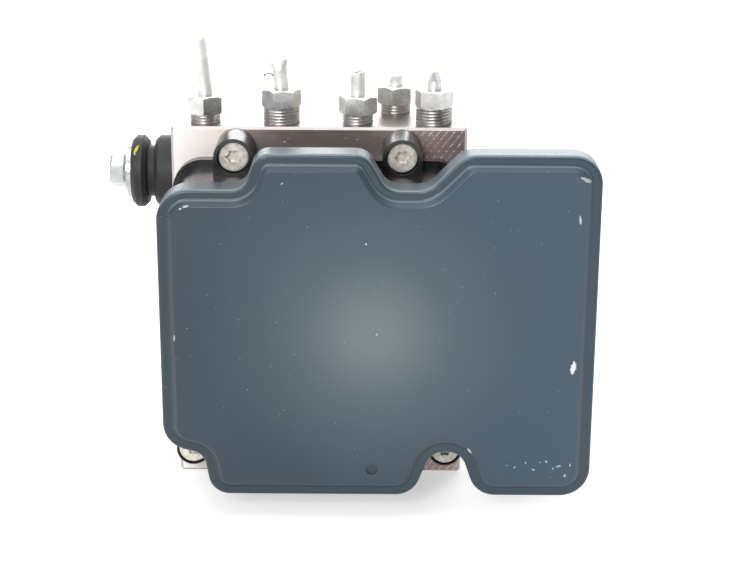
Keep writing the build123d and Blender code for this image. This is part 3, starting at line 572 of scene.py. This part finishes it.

# %% [markdown]
# Across the front face the colour goes from a near-white, matt left end to a browner right one.
# Over the metal's own tint, the near-white left end is a painted highlight and the darker middle
# is painted shade. The pale end is less metallic, so it scatters light. Small bright flecks are
# scattered over the face.

# %% Painted highlight and shade, and flecks, on the front face
BLOCK_ENDS = (-48 * MM, 48 * MM)
# the metal's own tint with painted light over it: the near-white left end is a painted highlight,
# the darker middle is painted shade
TINT_AND_PAINTED_LIGHT = (
    (0.0, "fffaf6"),
    (0.16, "f8ece6"),
    (0.32, "a2938f"),
    (0.66, "9e918d"),
    (0.8, "b39d98"),
    (1.0, "b8a29d"),
)
# the left end is made less metallic, so that its painted highlight scatters light
MATT_ENDS, MATT_RANGE = (-40 * MM, -16 * MM), (0.85, 0.22)
FLECK_MM = 1.6
FLECK_TURN = math.radians(-30)
along = put(
    tree,
    "ShaderNodeMapRange",
    {"Value": where.outputs["X"], "From Min": BLOCK_ENDS[0], "From Max": BLOCK_ENDS[1]},
).outputs[0]
ramp = put(tree, "ShaderNodeValToRGB", {"Fac": along})
stops = ramp.color_ramp.elements
for stop_at, code in TINT_AND_PAINTED_LIGHT:
    stop = stops.new(stop_at) if 0.0 < stop_at < 1.0 else stops[0 if stop_at == 0.0 else -1]
    stop.color = linear(code)
masked = put(tree, "ShaderNodeMath", {0: broken, 1: front}, operation="MULTIPLY").outputs[0]
shown = put(tree, "ShaderNodeMath", {0: hatched, 1: masked}, operation="MULTIPLY").outputs[0]
matt = put(
    tree,
    "ShaderNodeMapRange",
    {
        "Value": where.outputs["X"],
        "From Min": MATT_ENDS[0],
        "From Max": MATT_ENDS[1],
        "To Min": MATT_RANGE[0],
        "To Max": MATT_RANGE[1],
    },
).outputs[0]
dull = put(tree, "ShaderNodeMath", {0: matt, 1: front}, operation="MULTIPLY").outputs[0]
# the front face takes the painted highlight and the painted shade from the ramp
tint_and_painted_light = put(
    tree,
    "ShaderNodeMix",
    {0: front, 6: milled["tint"].outputs[2], 7: ramp.outputs["Color"]},
    data_type="RGBA",
).outputs[2]
bright = put(
    tree, "ShaderNodeMix", {0: shown, 6: tint_and_painted_light, 7: linear("ffffff")}, data_type="RGBA"
).outputs[2]
flat = put(
    tree,
    "ShaderNodeMapping",
    {"Vector": milled["place"], "Rotation": (0, FLECK_TURN, 0), "Scale": (0.5, 1, 1)},
).outputs[0]
nick = put(tree, "ShaderNodeTexVoronoi", {"Vector": flat, "Scale": 1000 / FLECK_MM})
fleck = put(
    tree,
    "ShaderNodeMapRange",
    {"Value": nick.outputs["Distance"], "From Min": 0.18, "From Max": 0.1, "To Max": 0.8},
).outputs[0]
flecked = put(tree, "ShaderNodeMath", {0: fleck, 1: masked}, operation="MULTIPLY").outputs[0]
bright = put(
    tree, "ShaderNodeMix", {0: flecked, 6: bright, 7: linear("f6efe9")}, data_type="RGBA"
).outputs[2]
tree.links.new(bright, milled["shader"].inputs["Base Color"])
chips = put(tree, "ShaderNodeMath", {0: flecked, 1: shown}, operation="MAXIMUM").outputs[0]
matter = put(tree, "ShaderNodeMath", {0: dull, 1: chips}, operation="MAXIMUM").outputs[0]
metal = put(tree, "ShaderNodeMath", {0: 1.0, 1: matter}, operation="SUBTRACT").outputs[0]
tree.links.new(metal, milled["shader"].inputs["Metallic"])
dress(["valve_block"], milled)
print("milled block:", len(tree.nodes), "nodes")

# %% [markdown]
# ## Lid
# The lid is a satin blue-grey moulding with a fine spark-eroded grain. Its middle has a wide, pale
# glow, which is a painted highlight, and it has a few white scuffs. Each mark is a soft ellipse on
# the lid's face, broken up by noise so that its edge is ragged.


# %% Marks on a surface
def rag(base, size_mm, detail):
    """Adds the noise that makes the edges of this surface's marks ragged."""
    base["ragged"] = put(
        base["tree"],
        "ShaderNodeTexNoise",
        {"Vector": base["place"], "Scale": 1000 / size_mm, "Detail": detail},
    )


def spot(base, x, z, wide, high, turn, soft, broken):
    """A mask that is 1 at a place seen from the front and fades out at an ellipse's edge.

    The place and the two half widths are in millimetres and the turn is in degrees. soft is the
    share of the ellipse over which it fades, and broken is how far the noise moves its edge.
    """
    tree = base["tree"]
    there = put(
        tree, "ShaderNodeMapping", {"Vector": base["place"], "Location": (-x * MM, 0, -z * MM)}
    ).outputs[0]
    turned = put(
        tree, "ShaderNodeMapping", {"Vector": there, "Rotation": (0, math.radians(turn), 0)}
    ).outputs[0]
    scaled = put(
        tree, "ShaderNodeMapping", {"Vector": turned, "Scale": (1000 / wide, 0, 1000 / high)}
    ).outputs[0]
    far = put(tree, "ShaderNodeVectorMath", {0: scaled}, operation="LENGTH").outputs["Value"]
    rough = put(
        tree,
        "ShaderNodeMath",
        {0: base["ragged"].outputs["Fac"], 1: broken, 2: far},
        operation="MULTIPLY_ADD",
    ).outputs[0]
    return put(
        tree,
        "ShaderNodeMapRange",
        {"Value": rough, "From Min": 1 + broken / 2, "From Max": 1 - soft + broken / 2},
        interpolation_type="SMOOTHSTEP",
    ).outputs[0]


def lay_marks_and_painted_light(base, under, mask, amount, code):
    """Lays a colour over another where the mask is; it lays real marks and painted light alike."""
    tree = base["tree"]
    share = put(tree, "ShaderNodeMath", {0: mask, 1: amount}, operation="MULTIPLY").outputs[0]
    return put(
        tree, "ShaderNodeMix", {0: share, 6: under, 7: linear(code)}, data_type="RGBA"
    ).outputs[2]


# %% [markdown]
# The lid's raised panel stands 2 mm in front of its rim. The step between them and the rim are
# darkened as painted shade, and the edges that face up are made paler as painted highlights. Each
# of these is a band of depths along Y.

# %% Lid plastic, painted shade in its step and painted highlights on its edges and right side
# a painted highlight: the lid's colour grows paler towards the right, between these X ends
ACROSS_ENDS, ACROSS_SHARE = (-40 * MM, 90 * MM), 0.6
STEP_FRONT = (-59.8 * MM, -58.8 * MM)  # from the front, the painted shade fades in between these depths
STEP_BACK = (-56.6 * MM, -57.6 * MM)  # and further back it fades out between these
HIGHLIGHT_UPWARD = (0.15, 0.5)  # of the normal's Z, between which an edge counts as facing up
# depths and strengths of the painted highlights on the edges that face up
HIGHLIGHT_BANDS = ((-58.4 * MM, -57.4 * MM, 0.6), (-59.2 * MM, -58.5 * MM, 0.4))
# satin polyester: a deep blue-grey that takes a wide, soft sheen
lid = surface(
    "satin_blue_grey_polyester", "253641", "2b3d49", 45.0, 0.45, 0.03, 0.28, 0.42, ior=1.5
)
tree = lid["tree"]
split = put(tree, "ShaderNodeSeparateXYZ", {"Vector": lid["place"]})
rag(lid, 0.6, 4.0)
across = put(
    tree,
    "ShaderNodeMapRange",
    {
        "Value": split.outputs["X"],
        "From Min": ACROSS_ENDS[0],
        "From Max": ACROSS_ENDS[1],
        "To Max": ACROSS_SHARE,
    },
).outputs[0]
# painted highlight: paler towards the right of the lid
paint = put(
    tree,
    "ShaderNodeMix",
    {0: across, 6: lid["tint"].outputs[2], 7: linear("405464")},
    data_type="RGBA",
).outputs[2]
near = put(
    tree,
    "ShaderNodeMapRange",
    {"Value": split.outputs["Y"], "From Min": STEP_FRONT[0], "From Max": STEP_FRONT[1]},
).outputs[0]
rim = put(
    tree,
    "ShaderNodeMapRange",
    {"Value": split.outputs["Y"], "From Min": STEP_BACK[0], "From Max": STEP_BACK[1]},
).outputs[0]
# painted shade: the step between rim and panel, and the rim itself, are darkened
painted_step_shade = put(tree, "ShaderNodeMath", {0: near, 1: rim}, operation="MULTIPLY").outputs[0]
paint = lay_marks_and_painted_light(lid, paint, painted_step_shade, 0.5, "1f3039")
facing = put(tree, "ShaderNodeTexCoord").outputs["Normal"]
upward = put(tree, "ShaderNodeSeparateXYZ", {"Vector": facing}).outputs["Z"]
upward_highlight = put(
    tree,
    "ShaderNodeMapRange",
    {"Value": upward, "From Min": HIGHLIGHT_UPWARD[0], "From Max": HIGHLIGHT_UPWARD[1]},
).outputs[0]
# painted highlights: narrow bands on the edges that face up are laid paler
for deep, shallow, amount in HIGHLIGHT_BANDS:
    centre = (deep + shallow) / 2
    off = put(
        tree, "ShaderNodeMath", {0: split.outputs["Y"], 1: centre}, operation="SUBTRACT"
    ).outputs[0]
    off = put(tree, "ShaderNodeMath", {0: off}, operation="ABSOLUTE").outputs[0]
    band = put(
        tree,
        "ShaderNodeMapRange",
        {"Value": off, "From Min": (shallow - deep) / 2, "From Max": 0.0},
    ).outputs[0]
    edge = put(tree, "ShaderNodeMath", {0: band, 1: upward_highlight}, operation="MULTIPLY").outputs[0]
    paint = lay_marks_and_painted_light(lid, paint, edge, amount, "93a4ab")
print("lid bands:", len(HIGHLIGHT_BANDS))

# %% [markdown]
# The glow, a painted highlight, is two wide, soft pale spots on one centre. The mould's gate left a
# small grey dot in it, and the dimple near the lower edge holds some painted shade. Dust and scuffs
# come last, on top.

# %% Lid glow, a painted highlight, and scuffs
PAINTED_GLOW_CENTRE = (18.0, 63.5)
GATE = (18.9, 63.6)
DIMPLE = (17.5, 18.0)
DUST_MM = 3.6
# centre x and z, half width, half height, turn in degrees, strength
SCUFFS = (
    (80.3, 53.0, 0.9, 2.5, -8, 1.0),
    (48.5, 24.4, 0.5, 1.3, 30, 0.8),
    (82.0, 113.5, 0.6, 2.0, 62, 0.55),
    (80.5, 101.0, 0.4, 1.6, 5, 0.6),
    (-39.5, 104.5, 1.0, 0.3, 10, 0.6),
    (-41.0, 103.8, 0.4, 0.3, 0, 0.6),
    (60.5, 19.6, 0.3, 0.2, 40, 0.4),
    (63.0, 19.0, 0.5, 0.3, 40, 0.4),
    (66.5, 20.5, 0.3, 0.5, 0, 0.45),
    (69.0, 18.2, 0.7, 0.3, -20, 0.5),
    (71.0, 20.8, 0.3, 0.3, 0, 0.35),
    (73.0, 21.0, 0.4, 0.6, 30, 0.5),
    (75.2, 18.6, 0.5, 0.3, 70, 0.4),
    (77.0, 19.5, 0.8, 0.4, 20, 0.5),
    (79.0, 16.2, 0.4, 0.7, 0, 0.55),
    (80.6, 19.8, 0.3, 0.6, 0, 0.5),
    (-10.0, 112.0, 0.6, 0.25, 35, 0.5),
    (15.5, 93.0, 0.3, 0.3, 0, 0.8),
    (-44.0, 62.0, 0.25, 1.1, 0, 0.6),
)
# painted highlight: a wide pale glow on the lid's middle, laid as two soft spots
paint = lay_marks_and_painted_light(lid, paint, spot(lid, *PAINTED_GLOW_CENTRE, 56, 56, 0, 1.0, 0.1), 0.44, "707d81")
paint = lay_marks_and_painted_light(lid, paint, spot(lid, *PAINTED_GLOW_CENTRE, 27, 27, 0, 1.0, 0.1), 0.36, "848f8d")
paint = lay_marks_and_painted_light(lid, paint, spot(lid, *GATE, 1.0, 1.2, 0, 0.3, 0.5), 0.7, "5e6a6c")
paint = lay_marks_and_painted_light(lid, paint, spot(lid, *GATE, 0.5, 0.7, 0, 0.4, 0.5), 0.8, "a9b4b2")
paint = lay_marks_and_painted_light(lid, paint, spot(lid, *DIMPLE, 2.4, 2.4, 0, 0.4, 0.3), 0.5, "1c2830")
cells = put(tree, "ShaderNodeTexVoronoi", {"Vector": lid["place"], "Scale": 1000 / DUST_MM})
dots = put(
    tree,
    "ShaderNodeMapRange",
    {"Value": cells.outputs["Distance"], "From Min": 0.05, "From Max": 0.03},
).outputs[0]
paint = lay_marks_and_painted_light(lid, paint, dots, 0.45, "c3ccce")
for *shape, amount in SCUFFS:
    paint = lay_marks_and_painted_light(lid, paint, spot(lid, *shape, 0.3, 1.5), amount, "dfe4e6")
tree.links.new(paint, lid["shader"].inputs["Base Color"])
dress(["ecu_lid"], lid)
print("lid scuffs:", len(SCUFFS))

# %% [markdown]
# ## Grommet
# The grommet is black rubber with a dab of yellow-green paint, such as assembly lines use for a
# check mark. A mask keeps the dab to the side that faces front.

# %% Grommet with a paint dab
DAB = (-61.0, 108.6)
DAB_FRONT_OF = -3 * MM
# moulded rubber again: as soft as the seal, and a deeper black
dabbed = surface(
    "marked_black_rubber", "100f0f", "1c1a1a", 6.0, 0.25, 0.04, 0.45, 0.7, ior=1.52
)
tree = dabbed["tree"]
rag(dabbed, 0.8, 3.0)
ahead = put(tree, "ShaderNodeSeparateXYZ", {"Vector": dabbed["place"]}).outputs["Y"]
dab = put(tree, "ShaderNodeMath", {0: ahead, 1: DAB_FRONT_OF}, operation="LESS_THAN").outputs[0]
paint = lay_marks_and_painted_light(
    dabbed,
    dabbed["tint"].outputs[2],
    spot(dabbed, *DAB, 0.6, 1.5, -25, 0.3, 1.8),
    dab,
    "b9c23c",
)
tree.links.new(paint, dabbed["shader"].inputs["Base Color"])
dress(["grommet"], dabbed)
print("grommet:", len(tree.nodes), "nodes")

# %% [markdown]
# ## Threads under the nuts
# A little of each tube nut's thread shows between its hexagon and the block. A thread is one
# V-shaped ridge that climbs by its pitch each turn. The Screw modifier makes just that from a
# four-point outline with an open foot, and the two ends are then cut off flat.


# %% Threads
def thread(name, places, crest_mm, pitch_mm, low_mm, high_mm, made):
    """A helical ridge round each (x, y), between two heights."""
    root = crest_mm - 0.6 * pitch_mm
    turns = math.ceil((high_mm - low_mm) / pitch_mm) + 2
    bpy.ops.object.select_all(action="DESELECT")
    bpy.ops.mesh.primitive_plane_add(size=1.0)
    ridge = bpy.context.object
    bpy.ops.object.mode_set(mode="EDIT")
    bpy.ops.mesh.select_all(action="SELECT")
    bpy.ops.mesh.delete(type="ONLY_FACE")
    bpy.ops.object.mode_set(mode="OBJECT")
    # the plane's four corners become the foot, the two sides of the crest and the foot again
    outline = [(root, -0.5), (crest_mm, -0.06), (crest_mm, 0.06), (root, 0.5)]
    data = ridge.data
    for vertex, (radius, rise) in zip((data.vertices[i] for i in (0, 1, 3, 2)), outline):
        vertex.co = Vector((radius, 0, rise * pitch_mm)) * MM
    for edge in data.edges:
        edge.select = set(edge.vertices) == {0, 2}
    bpy.ops.object.mode_set(mode="EDIT")
    bpy.ops.mesh.select_mode(type="EDGE")
    bpy.ops.mesh.delete(type="EDGE")
    bpy.ops.object.mode_set(mode="OBJECT")
    bpy.ops.object.modifier_add(type="SCREW")
    screw = ridge.modifiers[-1]
    screw.screw_offset = pitch_mm * MM
    screw.iterations = turns
    screw.steps = screw.render_steps = 32
    screw.use_merge_vertices = True
    screw.merge_threshold = 0.01 * MM
    bpy.ops.object.modifier_apply(modifier=screw.name)
    bpy.ops.object.mode_set(mode="EDIT")
    bpy.ops.mesh.select_mode(type="VERT")
    bpy.ops.mesh.select_all(action="SELECT")
    bpy.ops.mesh.remove_doubles(threshold=0.02 * MM)
    bpy.ops.transform.translate(value=(0, 0, (low_mm - pitch_mm) * MM))
    for height, below in ((low_mm, True), (high_mm, False)):
        bpy.ops.mesh.select_all(action="SELECT")
        bpy.ops.mesh.bisect(
            plane_co=(0, 0, height * MM),
            plane_no=(0, 0, 1),
            clear_inner=below,
            clear_outer=not below,
            use_fill=True,
        )
    bpy.ops.mesh.select_all(action="SELECT")
    bpy.ops.mesh.normals_make_consistent(inside=False)
    bpy.ops.object.mode_set(mode="OBJECT")
    copies = [ridge]
    for _ in places[1:]:
        twin = ridge.copy()
        twin.data = ridge.data.copy()
        bpy.context.scene.collection.objects.link(twin)
        copies.append(twin)
    for number, (one, (x, y)) in enumerate(zip(copies, places), start=1):
        one.data.transform(Matrix.Translation(Vector((x, y, 0)) * MM))
        one.name = f"{name}_{number}"
        one.data.materials.append(made["material"])
        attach(one, "unit")
    return copies


BLOCK_TOP = 120.2
THREAD_FOOT = BLOCK_TOP - 0.6
FRONT_PORTS = -14.2
REAR_PORTS = 1.5
SMALL_PLACES = [(-37.05, FRONT_PORTS), (12.35, FRONT_PORTS), (24.7, REAR_PORTS)]
LARGE_PLACES = [(-12.35, FRONT_PORTS), (37.05, FRONT_PORTS)]
SMALL_TOP, LARGE_TOP = BLOCK_TOP + 3.1, BLOCK_TOP + 5.2
SMALL_RADIUS, LARGE_RADIUS, PITCH = 5.0, 6.0, 1.0  # M10x1 and M12x1
# rolled steel: greyer than the plated flats, so the grooves read as dark lines
thread_steel = surface(
    "rolled_thread_steel", "8a8786", "b0adab", 3.0, 0.3, 0.02, 0.3, 0.5, metallic=1.0
)
made = thread(
    "small_thread",
    SMALL_PLACES,
    SMALL_RADIUS,
    PITCH,
    THREAD_FOOT,
    SMALL_TOP,
    thread_steel,
)
made += thread(
    "large_thread",
    LARGE_PLACES,
    LARGE_RADIUS,
    PITCH,
    THREAD_FOOT,
    LARGE_TOP,
    thread_steel,
)
print("threads:", len(made), "faces:", sum(len(o.data.polygons) for o in made))

# %% [markdown]
# ## A burr on a cut pipe
# The pipes were snipped off with pliers, which left a thin curl of metal at the side of one. It is
# part of a small ring: a torus is made, half of it is cut off, and what is left is set against
# the pipe's wall.

# %% Burr
BURR_PLACE = (-16.4 * MM, FRONT_PORTS * MM, 134.9 * MM)
bpy.ops.object.select_all(action="DESELECT")
bpy.ops.mesh.primitive_torus_add(
    major_radius=1.5 * MM, minor_radius=0.28 * MM, major_segments=32, minor_segments=8
)
burr = bpy.context.object
burr.name = "pipe_burr"
bpy.ops.object.mode_set(mode="EDIT")
bpy.ops.mesh.select_all(action="SELECT")
bpy.ops.mesh.bisect(plane_co=(0, 0, 0), plane_no=(0, 1, 0), clear_inner=True, use_fill=True)
bpy.ops.mesh.select_all(action="SELECT")
bpy.ops.transform.resize(value=(1, 0.7, 1), center_override=(0, 0, 0))
bpy.ops.transform.rotate(value=math.radians(-90), orient_axis="X", center_override=(0, 0, 0))
bpy.ops.transform.translate(value=BURR_PLACE)
bpy.ops.mesh.normals_make_consistent(inside=False)
bpy.ops.object.mode_set(mode="OBJECT")
# torn steel: brown and dull where the coat broke and rust began
burnt = surface(
    "scorched_tube_burr", "4a3a2e", "8d7a68", 0.8, 0.15, 0.02, 0.4, 0.6, metallic=0.8
)
burr.data.materials.append(burnt["material"])
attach(burr, "unit")
print("burr faces:", len(burr.data.polygons))

# %% [markdown]
# ## Springs wound again
# A CAD solid is rigid, so a spring from CAD would be cut by its piston as that moves. Each spring
# is wound again here, from a small circle and the Screw modifier, in the CAD spring's own place.
# The new springs do not move with the pistons.


# %% Springs
def coil(node, wire_mm, radius_mm, turns, axis):
    """A coil spring that fills a CAD spring's length along X (0) or Z (2), and its two corners."""
    low, high = (Vector(corner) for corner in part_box(node))
    length = (high - low)[axis]
    bpy.ops.object.select_all(action="DESELECT")
    bpy.ops.mesh.primitive_circle_add(vertices=10, radius=wire_mm * MM)
    made = bpy.context.object
    made.name = f"coiled_{node}"
    bpy.ops.object.mode_set(mode="EDIT")
    bpy.ops.mesh.select_all(action="SELECT")
    bpy.ops.transform.rotate(value=math.pi / 2, orient_axis="X", center_override=(0, 0, 0))
    bpy.ops.transform.translate(value=(radius_mm * MM, 0, wire_mm * MM))
    bpy.ops.object.mode_set(mode="OBJECT")
    bpy.ops.object.modifier_add(type="SCREW")
    screw = made.modifiers[-1]
    screw.screw_offset = (length - 2 * wire_mm * MM) / turns
    screw.iterations = turns
    screw.steps = screw.render_steps = 24
    bpy.ops.object.modifier_apply(modifier=screw.name)
    bpy.ops.object.mode_set(mode="EDIT")
    bpy.ops.mesh.select_all(action="SELECT")
    bpy.ops.mesh.fill_holes(sides=10)
    bpy.ops.mesh.select_all(action="SELECT")
    bpy.ops.mesh.normals_make_consistent(inside=False)
    bpy.ops.object.mode_set(mode="OBJECT")
    start = (low + high) / 2
    start[axis] = low[axis]
    if axis == 0:
        made.data.transform(Matrix.Rotation(math.pi / 2, 4, "Y"))
    made.data.transform(Matrix.Translation(start))
    made.data.materials.append(wire["material"])
    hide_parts(node)
    return made, low, high


for number in (1, 2):
    made, low, high = coil(f"accumulator_spring_{number}", 0.8, 5.6, 4, 2)
    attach(made, "unit")
    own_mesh(made)
    made, low, high = coil(f"pump_spring_{number}", 0.5, 3.9, 4, 0)
    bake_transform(made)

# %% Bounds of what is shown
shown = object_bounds()
